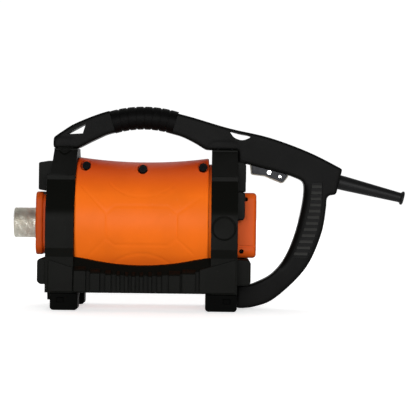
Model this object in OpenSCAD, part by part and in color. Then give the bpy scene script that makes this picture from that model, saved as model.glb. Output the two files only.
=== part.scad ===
// Hand-held electric concrete vibrator: a high-speed motor unit in a carrying
// cage, with a screwed spigot for the flexible shaft hose at its front end.
// -X is the hose end, +X the cable end, +Z up. The unit stands on four feet at
// Z = 0, and the motor turns about an axis that lies along X.

/* [Motor body] */
// Height of the motor axis above the floor
axis_z = 100; // [99:0.5:101]
// Radius of the barrel at its waist
waist_r = 73.6; // [73:0.2:74.6]
// Radius of the barrel where it flares against the cage rings
flare_r = 79; // [78:0.2:80]
// Radius of the barrel's inside
barrel_in_r = 68; // [67:0.5:69]

/* [Hose end] */
// Outer diameter of the hose thread
spigot_d = 36; // [32:1:38]
// Bore of the hose spigot
spigot_bore_d = 22; // [20:0.5:24]
// Width of the square front flange
flange_w = 74.6; // [72:0.2:76]

/* [Cage] */
// Width of a cage ring along the motor
ring_w = 31; // [29:0.5:31]
// Half of the cage's width
cage_half_w = 86; // [85:0.5:89]
// Height of the ring heads that carry the handle
head_z = 189; // [188:0.5:190]

/* [Handle] */
// Half of the handle's thickness
handle_half_w = 15.5; // [14.5:0.5:17]
// Radius of the ribbed top grip
grip_r = 13.8; // [13:0.1:14.5]
// Wall of the handle shells
handle_wall = 3.2; // [2.8:0.2:3.6]

/* [Trigger] */
// Half of the trigger's width
trigger_half_w = 9.5; // [8.5:0.5:10]
// Travel of the trigger in degrees, to show it squeezed
trigger_pull = 0; // [0:0.5:8.5]

/* [Cable end] */
// Bore of the cable boot
boot_bore_d = 10.2; // [8:0.2:11]
// Length of the boot outside the handle
boot_len = 80; // [70:1:80]

/* [Hidden] */

$fn = 64;
left = -1;
right = 1;
gap = 0.05;          // slack of a screw or pin in its hole

waist_x = -79;       // where the barrel is thinnest
flare_x = 77;        // from the waist to the barrel's shoulders
seat_r = 72;         // barrel under the rings
front_ring_x = -188;
rear_ring_x = 2;
front_wall_x = -187;
rear_wall_x = 31;
wall_t = 4;
cover_end_x = 55.3;
brush_x = 17;
stator_x = [-118, -42];
stator_r = 62;
armature_r = 35.4;
shaft_r = 7.5;
rear_shaft_r = 5;
spigot_end_x = -233;
hub_x = -207;

housing_screw_at = [[-146.6, 68.9], [-79.6, 65.7], [-8.1, 68.3]];
cage_screw_at = [[-172.5, 181], [17.5, 181], [-172.5, 16], [17.5, 16]];
handle_screw_at = [
  [-176, 196], [-138, 213], [-30, 214], [104, 180], [127, 173], [99, 47], [52, 16]
];
foot_x = [[-181.5, -149.5], [-3, 39]];
foot_y = [48, 80];

grip_centre = [-79.5, 96.5];   // centre of the arc that the top grip follows
grip_arc_r = 130;
grip_half_angle = 16.8;
grip_ribs = 8;

pivot = [83.5, 158.4];
rivet = [70.4, 163.2];
plunger_x = 56;
switch_z = 179;

boot_root = [154.2, 152.8];
boot_tilt = 13.5;
boot_root_r = 8.65;
boot_end_r = 5.9;

// ---- placing helpers -------------------------------------------------------

module along_y(x, z, y0, y1) translate([x, min(y0, y1), z]) rotate([-90, 0, 0]) children();

// A round bar along Y from y0 to y1
module bar_y(x, z, r, y0, y1) along_y(x, z, y0, y1) cylinder(r = r, h = abs(y1 - y0));

// A round bar on the motor axis from x0 to x1
module bar_x(r, x0, x1) translate([x0, 0, axis_z]) rotate([0, 90, 0]) cylinder(r = r, h = x1 - x0);

// A round bar along Z from z0 to z1
module bar_z(x, y, r, z0, z1) translate([x, y, z0]) cylinder(r = r, h = z1 - z0);

// The round space of a foot's screw, in the foot's middle
module foot_hole(at, r, z0, z1) bar_z((at[0] + at[1]) / 2, (foot_y[0] + foot_y[1]) / 2, r, z0, z1);

// A side-view outline (X, Z) given thickness along Y
module side_plate(y0, y1)
  translate([0, max(y0, y1), 0]) rotate([90, 0, 0]) linear_extrude(abs(y1 - y0)) children();

// An end-view outline (Y, Z) given length along X
module end_plate(x0, x1)
  translate([x0, 0, 0]) rotate([90, 0, 90]) linear_extrude(x1 - x0) children();

// A profile of [radius, x] points turned about the motor axis
module turned_x(profile)
  translate([0, 0, axis_z]) rotate([0, 90, 0]) rotate_extrude($fn = 96) polygon(profile);

// Everything on one side of the middle plane
module one_side(side)
  intersection() {
    children();
    translate([-300, side < 0 ? -200 : 0, -20]) cube([600, 200, 300]);
  }

module ring_x(r_in, r_out, x0, x1) turned_x([[r_in, x0], [r_out, x0], [r_out, x1], [r_in, x1]]);

module rounded_square(w, r) {
  square([w, w - 2 * r], center = true);
  square([w - 2 * r, w], center = true);
  for (sx = [-1, 1], sy = [-1, 1])
    translate([sx * (w / 2 - r), sy * (w / 2 - r)]) circle(r);
}

// A smooth line through points, without its last point
function spline_at(a, b, c, d, t) =
  0.5 * (2 * b + (c - a) * t + (2 * a - 5 * b + 4 * c - d) * t * t + (3 * b - a - 3 * c + d) * t * t * t);
function curve(p, steps = 5) = [
  for (i = [0 : len(p) - 2], k = [0 : steps - 1])
    spline_at(p[max(i - 1, 0)], p[i], p[i + 1], p[min(i + 2, len(p) - 1)], k / steps)
];

// ---- cage ------------------------------------------------------------------

module ring_outline()
  polygon([
    [0, head_z], [26, head_z], [64, 153], [83, 118], [cage_half_w, 108], [cage_half_w, 72],
    [cage_half_w - 4, 60], [cage_half_w - 4, 20.3], [44, 20.3], [40, 10], [0, 10]
  ]);

// Rail top, higher towards the rings
function rail_top(x, low, rise) = low + rise * pow((x - waist_x) / flare_x, 2);
module rail_outline(low, rise)
  let (x0 = front_ring_x + ring_w, x1 = rear_ring_x)
    polygon(concat(
      [[x1, 20.5], [x0, 20.5]],
      [for (k = [0 : 12]) let (x = x0 + (x1 - x0) * k / 12) [x, rail_top(x, low, rise)]]
    ));

// Tread blocks of the rail: [middle, width]
tread = [
  [-149.5, 14], [-131.8, 11.2], [-116.5, 6.8], [-104.8, 4], [-95.3, 4], [-87.2, 4],
  [-78, 4], [-68, 4], [-57.3, 5], [-39.8, 13], [-23.2, 15.3], [-4.5, 10]
];

module rail() {
  side_plate(66, 76) rail_outline(52.6, 10.4);
  side_plate(75.5, cage_half_w - 4) rail_outline(46.5, 8.8);
  for (block = tread)
    side_plate(cage_half_w - 5, cage_half_w)
      intersection() {
        rail_outline(40.5, 7.3);
        translate([block[0] - block[1] / 2, 20]) square([block[1], 40]);
      }
}

module bumpers() {
  side_plate(0, 44) polygon([[-187, 175], [-190, 175], [-197, 172.5], [-199.5, 169], [-199.5, 140], [-187, 137.7]]);
  side_plate(0, cage_half_w - 8) polygon([[-187, 60], [-199.5, 58.5], [-199.5, 33], [-187, 29.7]]);
  side_plate(0, 42) polygon([[32, 172], [39, 172], [42.4, 168.5], [42.4, 139], [32, 139]]);
  side_plate(16.5, 42) polygon([[32, 175], [39.5, 175], [42.4, 171.5], [42.4, 160], [32, 160]]);
  side_plate(41.9, 66) polygon([[32, 139.5], [39, 139.5], [41.3, 137], [41.3, 109], [39, 106.3], [32, 106.3]]);
  side_plate(18, 62) polygon([[32, 60], [46, 60], [49, 57], [49, 33], [46, 30], [32, 30]]);
}

module cage_half(side)
  difference() {
    scale([1, side, 1])
      difference() {
        union() {
          end_plate(front_ring_x, front_ring_x + ring_w) ring_outline();
          end_plate(rear_ring_x, rear_ring_x + ring_w) ring_outline();
          rail();
          bumpers();
        }
        bar_x(seat_r + 0.3, front_ring_x - 0.1, rear_wall_x + 0.3);
        barrel_outside(0.5);
        end_plate(rear_wall_x, rear_wall_x + 3) translate([0, axis_z]) rounded_square(78, 9.5);
        bar_y(brush_x, axis_z - 3, 12.2, 60, 95);
        bar_y(brush_x, axis_z - 3, 14.5, cage_half_w - 5, 95);
        for (at = foot_x) foot_hole(at, 2.5 + gap, 18, 34);
        for (rx = [front_ring_x, rear_ring_x], dx = [7, 24]) {
          translate([rx + dx, 14, 160]) cylinder(r = 2.25, h = 40);
          translate([rx + dx, 14, 160]) cylinder(r = 4.6, h = 16);
        }
      }
    for (at = cage_screw_at) {
      bar_y(at[0], at[1], 2.5 + gap, -12, 13);
      bar_y(at[0], at[1], 4.6, 12, at[1] > axis_z ? 60 : 44.5);
    }
  }

module cage_left() color([0.11, 0.11, 0.12]) cage_half(left);
module cage_right() color([0.11, 0.11, 0.12]) cage_half(right);

module cage_screws() color("silver")
  for (at = cage_screw_at) {
    bar_y(at[0], at[1], 2.5, -11, 12);
    difference() {
      bar_y(at[0], at[1], 4.2, 12, 16);
      bar_y(at[0], at[1], 2, 14, 17, $fn = 6);
    }
  }

// ---- barrel housing --------------------------------------------------------

function barrel_r(x) = waist_r + (flare_r - waist_r) * pow((x - waist_x) / flare_x, 2);

// The waisted part between the rings, made larger by more
module barrel_outside(more = 0)
  let (x0 = waist_x - flare_x - 0.5, x1 = waist_x + flare_x + 0.5, n = 14)
    turned_x(concat(
      [[0, x1 + more], [0, x0 - more]],
      [for (k = [0 : n]) let (x = x0 + (x1 - x0) * k / n) [barrel_r(x) + more, x + (k == 0 ? -more : k == n ? more : 0)]]
    ));

module housing_half(side)
  one_side(side)
    difference() {
      union() {
        difference() {
          union() {
            barrel_outside();
            bar_x(seat_r, front_wall_x, rear_wall_x);
          }
          bar_x(barrel_in_r, front_wall_x + wall_t, rear_wall_x - wall_t);
        }
        ring_x(stator_r, barrel_in_r + 1, stator_x[0] + 6, stator_x[0] + 10);
        ring_x(stator_r, barrel_in_r + 1, stator_x[1] - 10, stator_x[1] - 6);
        for (at = housing_screw_at, up = [-1, 1])
          intersection() {
            bar_y(at[0], axis_z + up * at[1], 7, -40, 40);
            barrel_outside();
          }
      }
      bar_x(stator_r, stator_x[0], stator_x[1]);
      bar_x(32.2, front_wall_x - 1, front_wall_x + wall_t + 1);
      bar_x(26, rear_wall_x - wall_t - 1, rear_wall_x + 1);
      for (s = [-1, 1]) bar_y(brush_x, axis_z, 9.6, s * 60, s * 80);
      for (at = housing_screw_at, up = [-1, 1]) {
        bar_y(at[0], axis_z + up * at[1], 2.5 + gap, -22, 17);
        bar_y(at[0], axis_z + up * at[1], 5.9, -60, -21);
      }
      flange_bolts() cylinder(r = 2.5 + gap, h = 60, center = true);
      cover_bolts() cylinder(r = 2 + gap, h = 60, center = true);
    }

module housing_left() color([0.93, 0.42, 0.12]) housing_half(left);
module housing_right() color([0.93, 0.42, 0.12]) housing_half(right);

module housing_screws() color([0.62, 0.66, 0.72])
  for (at = housing_screw_at, up = [-1, 1]) {
    bar_y(at[0], axis_z + up * at[1], 2.5, -21, 16);
    difference() {
      bar_y(at[0], axis_z + up * at[1], 4.8, -26, -21);
      bar_y(at[0], axis_z + up * at[1], 2.4, -27, -23, $fn = 6);
    }
  }

// ---- front flange and hose spigot ------------------------------------------

module flange_bolts()
  for (sy = [-1, 1], sz = [-1, 1])
    translate([front_wall_x, sy * 28, axis_z + sz * 28]) rotate([0, 90, 0]) children();

module front_flange() color([0.93, 0.42, 0.12])
  difference() {
    union() {
      end_plate(-204, -196) translate([0, axis_z]) rounded_square(flange_w, 12);
      end_plate(-205, -204) translate([0, axis_z]) rounded_square(flange_w - 3, 11);
      end_plate(-196, front_wall_x) translate([0, axis_z]) rounded_square(flange_w - 7, 12);
      bar_x(21, hub_x, -204);
      bar_x(32, front_wall_x, front_wall_x + wall_t);
    }
    bar_x(15 + gap, hub_x - 1, -199);
    bar_x(18.35 + gap, hub_x - 1, hub_x + 2);
    bar_x(17.5 + gap / 2, -200, -189);
    bar_x(14, -190, -180);
    flange_bolts() cylinder(r = 2.5 + gap, h = 60, center = true);
    flange_bolts() translate([0, 0, -30]) cylinder(r = 5.6, h = 20);
  }

module flange_screws() color("silver")
  flange_bolts() {
    translate([0, 0, -10]) cylinder(r = 2.5, h = 13.5);
    difference() {
      translate([0, 0, -15]) cylinder(r = 4.8, h = 5);
      translate([0, 0, -16]) cylinder(r = 2.4, h = 4, $fn = 6);
    }
  }

module hose_spigot() color([0.75, 0.76, 0.78])
  turned_x([
    [spigot_bore_d / 2, spigot_end_x], [spigot_d / 2 - 1.5, spigot_end_x],
    [spigot_d / 2, spigot_end_x + 1.5], [spigot_d / 2, hub_x], [18.35, hub_x], [18.35, hub_x + 2],
    [15, hub_x + 2], [15, -200.2],
    [spigot_bore_d / 2, -200.2]
  ]);

// ---- rear cover --------------------------------------------------------

module cover_bolts()
  for (sy = [-1, 1], sz = [-1, 1])
    translate([rear_wall_x, sy * 31, axis_z + sz * 31]) rotate([0, 90, 0]) children();

module rear_cover() color([0.93, 0.42, 0.12])
  difference() {
    union() {
      end_plate(rear_wall_x, cover_end_x - 3) translate([0, axis_z]) rounded_square(77, 9);
      end_plate(cover_end_x - 3, cover_end_x) translate([0, axis_z]) rounded_square(72, 7);
    }
    difference() {
      bar_x(25, rear_wall_x - 1, 51);
      ring_x(15 + gap / 2, 19, 35, 51.5);
    }
    bar_x(15 + gap / 2, 36, 46);
    bar_x(11, rear_wall_x, 50);
    cover_bolts() translate([0, 0, -1]) cylinder(r = 2 + gap, h = 40);
    cover_bolts() translate([0, 0, 17]) cylinder(r = 4.4, h = 20);
  }

module rear_cover_screws() color("silver")
  cover_bolts() {
    translate([0, 0, -3.5]) cylinder(r = 2, h = 20.5);
    difference() {
      translate([0, 0, 17]) cylinder(r = 4, h = 4);
      translate([0, 0, 18.5]) cylinder(r = 2, h = 4, $fn = 6);
    }
  }

// ---- stator ------------------------------------------------------------

// A wedge across the motor axis, open by half_angle to each side of the Z axis
module pole_wedge(half_angle, x0, x1)
  for (up = [0, 180])
    translate([0, 0, axis_z]) rotate([up, 0, 0])
      end_plate(x0, x1) polygon([[0, 0], [-90 * sin(half_angle), 90 * cos(half_angle)], [0, 90],
        [90 * sin(half_angle), 90 * cos(half_angle)]]);

module stator_core() color([0.45, 0.46, 0.48]) {
  ring_x(52, stator_r, stator_x[0], stator_x[1]);
  intersection() {
    ring_x(36, 52.5, stator_x[0], stator_x[1]);
    pole_wedge(42, stator_x[0], stator_x[1]);
  }
}

module stator_coils() color([0.72, 0.42, 0.2]) {
  for (x0 = [stator_x[0] - 13, stator_x[1] + 0.2])
    ring_x(38, 51.5, x0, x0 + 12.8);
  difference() {
    ring_x(38, 51.5, stator_x[0] - 1, stator_x[1] + 1);
    pole_wedge(44, stator_x[0] - 2, stator_x[1] + 2);
  }
}

// ---- rotor -----------------------------------------------------------------

module rotor_shaft() color([0.72, 0.73, 0.75])
  turned_x([
    [0, -215], [5, -215], [shaft_r, -212.5], [shaft_r, 35], [rear_shaft_r, 35.5],
    [rear_shaft_r, 48], [4.2, 49], [0, 49]
  ]);

module core_slots(width, more = 0)
  for (k = [0 : 15])
    translate([0, 0, axis_z]) rotate([k * 22.5, 0, 0])
      translate([stator_x[0] - 1, -width / 2, 20 - more])
        cube([stator_x[1] - stator_x[0] + 2, width, 13 + more]);

module armature_core() color([0.5, 0.5, 0.52])
  difference() {
    ring_x(shaft_r, armature_r, stator_x[0], stator_x[1]);
    core_slots(5);
  }

module armature_windings() color([0.75, 0.36, 0.16]) {
  core_slots(4.8, -0.1);
  turned_x([[10, -132], [24, -133], [33.5, -128], [33.5, -118.1], [10, -118.1]]);
  turned_x([[10, -41.9], [33.5, -41.9], [33.5, -30], [22, -24], [10, -24]]);
}

module commutator() color([0.78, 0.45, 0.25])
  difference() {
    ring_x(shaft_r, 20, 4, 30);
    for (k = [0 : 15])
      translate([0, 0, axis_z]) rotate([k * 22.5 + 11.25, 0, 0]) translate([3, -0.4, 18.8]) cube([28, 0.8, 3]);
  }

module cooling_fan() color([0.16, 0.16, 0.17]) {
  ring_x(shaft_r, 14, -160, -138);
  ring_x(13.5, 56, -141, -138);
  for (k = [0 : 10])
    translate([0, 0, axis_z]) rotate([k * 360 / 11, 0, 0])
      translate([-157, -1, 20]) rotate([24, 0, 0]) cube([17, 2, 34]);
}

module drive_coupling() color([0.6, 0.61, 0.64])
  difference() {
    bar_x(9.6, -231, -200.6);
    bar_x(shaft_r, -216, -200);
    bar_x(5.05, -216.5, -214.9);
    translate([-232, -5, axis_z - 5]) cube([14, 10, 10]);
  }

// ---- ball bearings: pitch is the ball circle's radius ------------------------

module race(r_in, r_out, x0, x1, pitch, groove)
  difference() {
    ring_x(r_in, r_out, x0, x1);
    translate([(x0 + x1) / 2, 0, axis_z]) rotate([0, 90, 0])
      rotate_extrude() translate([pitch, 0]) circle(groove, $fn = 32);
  }

module balls(n, x, pitch, r)
  for (k = [0 : n - 1])
    translate([x, 0, axis_z]) rotate([k * 360 / n, 0, 0]) translate([0, 0, pitch]) sphere(r, $fn = 24);

module front_bearing_outer() color("silver") race(14, 17.5, -200, -189, 12.5, 3.05);
module front_bearing_inner() color("silver") race(shaft_r, 11, -200, -189, 12.5, 3.05);
module front_bearing_balls() color("lightgray") balls(8, -194.5, 12.5, 2.98);
module rear_bearing_outer() color("silver") race(11.7, 15, 36, 45, 10, 2.55);
module rear_bearing_inner() color("silver") race(rear_shaft_r, 8.3, 36, 45, 10, 2.55);
module rear_bearing_balls() color("lightgray") balls(8, 40.5, 10, 2.48);

// ---- brush gear --------------------------------------------------------------

module brush_holders() color([0.8, 0.66, 0.3])
  for (s = [-1, 1])
    scale([1, s, 1])
      difference() {
        union() {
          translate([brush_x - 6, 23, axis_z - 8]) cube([12, 32, 16]);
          bar_y(brush_x, axis_z, 9.4, 52, 61);
        }
        translate([brush_x - 4.05, 22, axis_z - 6.05]) cube([8.1, 34, 12.1]);
        bar_y(brush_x, axis_z, 6.6, 55, 62);
      }

module carbon_brushes() color([0.2, 0.2, 0.21])
  for (s = [-1, 1])
    scale([1, s, 1])
      difference() {
        translate([brush_x - 4, 18, axis_z - 6]) cube([8, 22, 12]);
        bar_x(20.08, 0, 40);
      }

// A wire coil along Z from z0 to z1
module coil(r, wire_r, z0, z1, turns, sides = 6, steps = 12)
  let (n = turns * steps)
    polyhedron(
      points = [
        for (i = [0 : n], j = [0 : sides - 1])
          let (a = 360 * i / steps, b = 360 * j / sides, rr = r + wire_r * cos(b))
            [rr * cos(a), rr * sin(a), z0 + (z1 - z0) * i / n + wire_r * sin(b)]
      ],
      faces = concat(
        [[for (j = [0 : sides - 1]) j]],
        [[for (j = [sides - 1 : -1 : 0]) n * sides + j]],
        [for (i = [0 : n - 1], j = [0 : sides - 1])
          let (a = i * sides + j, b = i * sides + (j + 1) % sides) [a, a + sides, b + sides]],
        [for (i = [0 : n - 1], j = [0 : sides - 1])
          let (a = i * sides + j, b = i * sides + (j + 1) % sides) [a, b + sides, b]]
      )
    );

module brush_springs() color("silver")
  for (s = [-1, 1])
    scale([1, s, 1]) translate([brush_x, 0, axis_z]) rotate([-90, 0, 0]) coil(3, 0.4, 40.5, 55.5, 6);

module brush_caps() color([0.14, 0.14, 0.15])
  for (s = [-1, 1])
    scale([1, s, 1])
      difference() {
        union() {
          bar_y(brush_x, axis_z, 8.8, 61, 66.5);
          bar_y(brush_x, axis_z, 6.4, 56.2, 61.5);
        }
        translate([brush_x - 7, 65, axis_z - 0.8]) cube([14, 3, 1.6]);
      }

module brush_plug(side)
  scale([1, side, 1]) {
    bar_y(brush_x, axis_z - 3, 12, 73.2, cage_half_w - 4.6);
    bar_y(brush_x, axis_z - 3, 14.3, cage_half_w - 4.9, cage_half_w);
    bar_y(brush_x, axis_z - 3, 12.8, cage_half_w - 0.5, cage_half_w + 1);
  }

module brush_plug_left() color([0.12, 0.12, 0.13]) brush_plug(left);
module brush_plug_right() color([0.12, 0.12, 0.13]) brush_plug(right);

// ---- handle ------------------------------------------------------------------

top_line = [
  [-187, 202], [-176.1, 209.7], [-159, 220], [-122.3, 234], [-82.8, 240.3], [-33, 230.7],
  [21.6, 215.4], [70, 204.8], [118.3, 187.6], [157.7, 168.2]
];
grip_back = [
  [139.1, 131.9], [138.5, 119.4], [133, 88.7], [114.6, 48.5], [79.4, 13.7], [55.6, 3.2], [40, 1]
];
grip_front = [
  [50.1, 29.1], [73.4, 41], [89.8, 60.4], [102.1, 89.8], [110.4, 125.3], [112.1, 149], [107, 155.2]
];
beam_under = [[107, 155.2], [93.9, 160.3], [58.8, 169.1], [41.7, 173.5]];
arch_under = [
  [-5, 189], [-22.2, 199.1], [-42.7, 207.2], [-80.5, 212.7], [-116.3, 208.1], [-135.4, 200.4],
  [-157.8, 189]
];

module handle_outline()
  difference() {
    polygon(concat(
      curve(top_line), [[157.7, 168.2], [150.8, 138.6], [149, 137.1], [143.2, 137.1], [140.3, 135]],
      curve(grip_back), [[40, 1], [33.3, 1], [33.3, 29.1]],
      curve(grip_front), beam_under, [[39, 172.4], [33.3, 172.4], [33.3, head_z]],
      curve(arch_under), [[-157.8, head_z], [-188.8, head_z], [-188.8, 200]]
    ));
    polygon([[-170, 206.2], [-149.1, 217.8], [-152.6, 207.6]]);
    polygon(curve([[22.7, 211.7], [35, 208.6], [47.5, 206], [43, 202.4], [36.2, 201.3], [28, 204.5], [22.7, 211.7]]));
  }

// The part of space that the grip sleeve takes, as a bent bar of the given radius
module grip_bar(r, half_angle = grip_half_angle)
  translate([grip_centre[0], 0, grip_centre[1]]) rotate([90, 0, 0]) rotate([0, 0, 90 - half_angle])
    rotate_extrude(angle = 2 * half_angle, $fn = 180) translate([grip_arc_r, 0]) circle(r, $fn = 32);

module grip_span()
  translate([grip_centre[0], 0, grip_centre[1]]) rotate([90, 0, 0]) rotate([0, 0, 90 - grip_half_angle])
    rotate_extrude(angle = 2 * grip_half_angle, $fn = 180) translate([grip_arc_r - 18, -20]) square([36, 40]);

// Local Z runs out of the handle along the cable
module on_cable()
  translate([boot_root[0], 0, boot_root[1]]) rotate([0, 90 + boot_tilt, 0]) children();

// Local Z runs down the screw that holds one end of the cable clamp
module clamp_place(side)
  on_cable() translate([-5.5, side * 8.3, -13]) rotate([0, 90, 0]) children();

module handle_bosses(side)
  for (at = handle_screw_at) bar_y(at[0], at[1], 5.6, 0, side * 12.5);

module handle_cavity(side)
  difference() {
    intersection() {
      side_plate(0, side * (handle_half_w - handle_wall)) offset(delta = -handle_wall) handle_outline();
      translate([-22, -20, 30]) cube([190, 40, 200]);
    }
    handle_bosses(side);
    clamp_place(side) cylinder(r = 2.9, h = 24);
    for (dx = [7, 24]) bar_z(rear_ring_x + dx, side * 11, 6, 185, 199);
    translate([79, side < 0 ? -13 : 0, 171.5]) cube([9, 13, 5.5]);
    translate([-22, -20, 180]) cube([70, 40, 15]);
  }

module handle_half(side)
  difference() {
    union() {
      difference() {
        union() {
          side_plate(0, side * (handle_half_w - 3)) handle_outline();
          side_plate(side * (handle_half_w - 3.5), side * (handle_half_w - 1.2))
            offset(delta = -1.2) handle_outline();
          side_plate(side * (handle_half_w - 1.5), side * handle_half_w)
            offset(delta = -3) handle_outline();
          side_plate(0, side * 22)
            polygon([[-188.8, head_z], [-188.8, 197], [-184, 201], [-163, 201], [-157.8, 191], [-157.8, head_z]]);
          side_plate(0, side * 22)
            polygon([[-3, head_z], [-3, 192], [3, 199], [28, 199], [33.3, 195], [33.3, head_z]]);
        }
        grip_span();
        handle_cavity(side);
        translate([45, -trigger_half_w - 0.9, 140]) cube([51.5, 2 * trigger_half_w + 1.8, 31.5]);
        translate([45, -trigger_half_w - 0.9, 160]) cube([34, 2 * trigger_half_w + 1.8, 19]);
        side_plate(side * (handle_half_w - 2.2), side * 20) inlay_outline(0.2);
      }
      one_side(side) grip_bar(grip_r - 3);
      bar_y(pivot[0], pivot[1], 4.5, 0, side * 6.3);
      translate([pivot[0] - 4.5, side < 0 ? -6.3 : 0, pivot[1]]) cube([8.5, 6.3, 14.5]);
    }
    for (at = handle_screw_at) {
      bar_y(at[0], at[1], 2 + gap, -9.5, 9.5);
      bar_y(at[0], at[1], 4.3, 9, 20);
    }
    for (rx = [front_ring_x, rear_ring_x], dx = [7, 24]) bar_z(rx + dx, side * 14, 2.05, 180, 198.5);
    bar_y(pivot[0], pivot[1], 1.6 + gap / 2, -8, 8);
    on_cable() translate([0, 0, -6.5]) cylinder(r = 8.1, h = 20);
    clamp_place(side) translate([0, 0, -1]) cylinder(r = 1.5 + gap, h = 5);
  }

module handle_left() color([0.11, 0.11, 0.12]) handle_half(left);
module handle_right() color([0.11, 0.11, 0.12]) handle_half(right);

module handle_screws() color("silver")
  for (at = handle_screw_at) {
    bar_y(at[0], at[1], 2, -9, 9);
    difference() {
      bar_y(at[0], at[1], 4, 9, 12);
      bar_y(at[0], at[1], 2, 10.5, 13, $fn = 6);
    }
  }

module handle_base_screws() color("silver")
  for (rx = [front_ring_x, rear_ring_x], dx = [7, 24], s = [-1, 1]) {
    bar_z(rx + dx, s * 14, 2, 176, 198);
    difference() {
      bar_z(rx + dx, s * 14, 4.1, 172.2, 176);
      bar_z(rx + dx, s * 14, 1.8, 171, 174, $fn = 6);
    }
  }

module handle_sleeve() color([0.09, 0.09, 0.1])
  difference() {
    union() {
      grip_bar(grip_r - 0.9);
      for (k = [0 : grip_ribs - 1])
        let (pitch = 2 * grip_half_angle / grip_ribs, a = pitch * (k + 0.5) - grip_half_angle)
          translate([grip_centre[0], 0, grip_centre[1]]) rotate([0, a, 0])
            translate([-grip_centre[0], 0, -grip_centre[1]]) grip_bar(grip_r, pitch * 0.38);
    }
    grip_bar(grip_r - 3 + gap / 2, grip_half_angle + 1);
  }

// Ribbed panel on the side of the rear grip
inlay_back = [[130.5, 152], [129.5, 120], [124.5, 91], [113, 64]];
inlay_front = [[103.5, 64], [112, 90], [117.5, 121], [119.5, 152]];
module inlay_outline(more = 0)
  offset(delta = more) polygon(concat(curve(inlay_back, 4), [[113, 64]], curve(inlay_front, 4), [[119.5, 152]]));

module grip_inlay(side)
  side_plate(side * (handle_half_w - 2.1), side * (handle_half_w - 1)) inlay_outline();

module inlay_bars(side)
  intersection() {
    side_plate(side * (handle_half_w - 1.2), side * (handle_half_w + 0.1)) inlay_outline(-0.6);
    for (k = [0 : 11])
      translate([90, side < 0 ? -20 : 0, 66 + k * 7.3]) cube([50, 20, 4]);
  }

module grip_inlay_left() color([0.08, 0.08, 0.09]) {
  grip_inlay(left);
  inlay_bars(left);
}
module grip_inlay_right() color([0.08, 0.08, 0.09]) {
  grip_inlay(right);
  inlay_bars(right);
}

// ---- feet --------------------------------------------------------------------

module foot(at, side)
  scale([1, side, 1])
    difference() {
      side_plate(foot_y[0], foot_y[1])
        polygon([[at[0] + 4, 0], [at[1] - 4, 0], [at[1], 4], [at[1], 20], [at[0], 20], [at[0], 4]]);
      foot_hole(at, 2.5 + gap, -1, 21);
      foot_hole(at, 5.5, -1, 9);
    }

module front_foot_left() color([0.06, 0.06, 0.07]) foot(foot_x[0], left);
module front_foot_right() color([0.06, 0.06, 0.07]) foot(foot_x[0], right);
module rear_foot_left() color([0.06, 0.06, 0.07]) foot(foot_x[1], left);
module rear_foot_right() color([0.06, 0.06, 0.07]) foot(foot_x[1], right);

module foot_screws() color("silver")
  for (at = foot_x, s = [-1, 1])
    scale([1, s, 1]) {
      foot_hole(at, 2.5, 9, 33);
      difference() {
        foot_hole(at, 4.6, 5, 9);
        foot_hole(at, 2, 4, 7.5, $fn = 6);
      }
    }

// ---- trigger and switch ------------------------------------------------------

module squeezed()
  translate([pivot[0], 0, pivot[1]]) rotate([0, trigger_pull, 0]) translate([-pivot[0], 0, -pivot[1]])
    children();

module trigger_side()
  polygon([
    [47.5, 173], [49.1, 160.4], [65.2, 158.6], [76.3, 154], [85.9, 150.3], [88.2, 151.8],
    [91.8, 156.2], [94, 159.4], [92, 163.5], [78, 168], [60, 171.5]
  ]);

module trigger() color([0.66, 0.67, 0.7])
  squeezed()
    difference() {
      side_plate(-trigger_half_w, trigger_half_w) trigger_side();
      side_plate(1.8 - trigger_half_w, trigger_half_w - 1.8)
        polygon([
          [40, 180], [40, 163], [51, 163], [51, 162.2], [65.6, 160.6], [77, 156], [85.4, 152.8], [87, 153.8], [91.6, 160], [96, 180]
        ]);
      bar_y(pivot[0], pivot[1], 1.6 + gap, -20, 20);
      bar_y(rivet[0], rivet[1], 2.4 + gap / 2, -20, 20);
    }

module trigger_pin() color("gainsboro") bar_y(pivot[0], pivot[1], 1.6, -10, 10);
module trigger_rivet() color("gainsboro")
  squeezed() bar_y(rivet[0], rivet[1], 2.4, -9.9, 9.9);

module switch_body() color([0.15, 0.15, 0.17])
  difference() {
    union() {
      translate([48, -8.5, switch_z]) cube([44, 17, 15]);
      translate([88, -6, switch_z + 3]) cube([9, 12, 7]);
    }
    bar_z(plunger_x, 0, 3.1, switch_z - 1, switch_z + 12);
  }

plunger_rise = sin(trigger_pull) * (pivot[0] - plunger_x);
module switch_plunger() color([0.75, 0.12, 0.1])
  translate([plunger_x, 0, plunger_rise])
    rotate_extrude()
      polygon([[0, 162.1], [1.2, 162.4], [2.2, 163.1], [3, 164.4], [3, 164.6], [5, 164.6], [5, 166], [3, 166],
        [3, switch_z + 7], [0, switch_z + 7]]);

module trigger_spring() color("silver")
  translate([plunger_x, 0, 0]) coil(4.2, 0.45, 166.6, switch_z - 0.6, 4);

// ---- electrics and cable entry -------------------------------------------------

module suppressor() color([0.85, 0.7, 0.2]) translate([-12, -8, 200.5]) cube([28, 16, 9]);

module terminal_block() color([0.9, 0.88, 0.8])
  difference() {
    translate([114, -8, 157]) cube([16, 16, 9]);
    for (y = [-4.5, 0, 4.5]) translate([113, y, 161.5]) rotate([0, 90, 0]) cylinder(r = 1.4, h = 18);
  }

module cable_clamp() color([0.16, 0.16, 0.18])
  difference() {
    on_cable() translate([-10.5, -11, -17]) cube([5, 22, 8]);
    for (side = [left, right]) clamp_place(side) translate([0, 0, -6]) cylinder(r = 1.5 + gap, h = 8);
    on_cable() translate([0, 0, -20]) cylinder(r = 6, h = 20);
  }

module clamp_screws() color("silver")
  for (side = [left, right])
    clamp_place(side) {
      translate([0, 0, -7]) cylinder(r = 2.6, h = 2);
      translate([0, 0, -5.1]) cylinder(r = 1.5, h = 8);
    }

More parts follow.
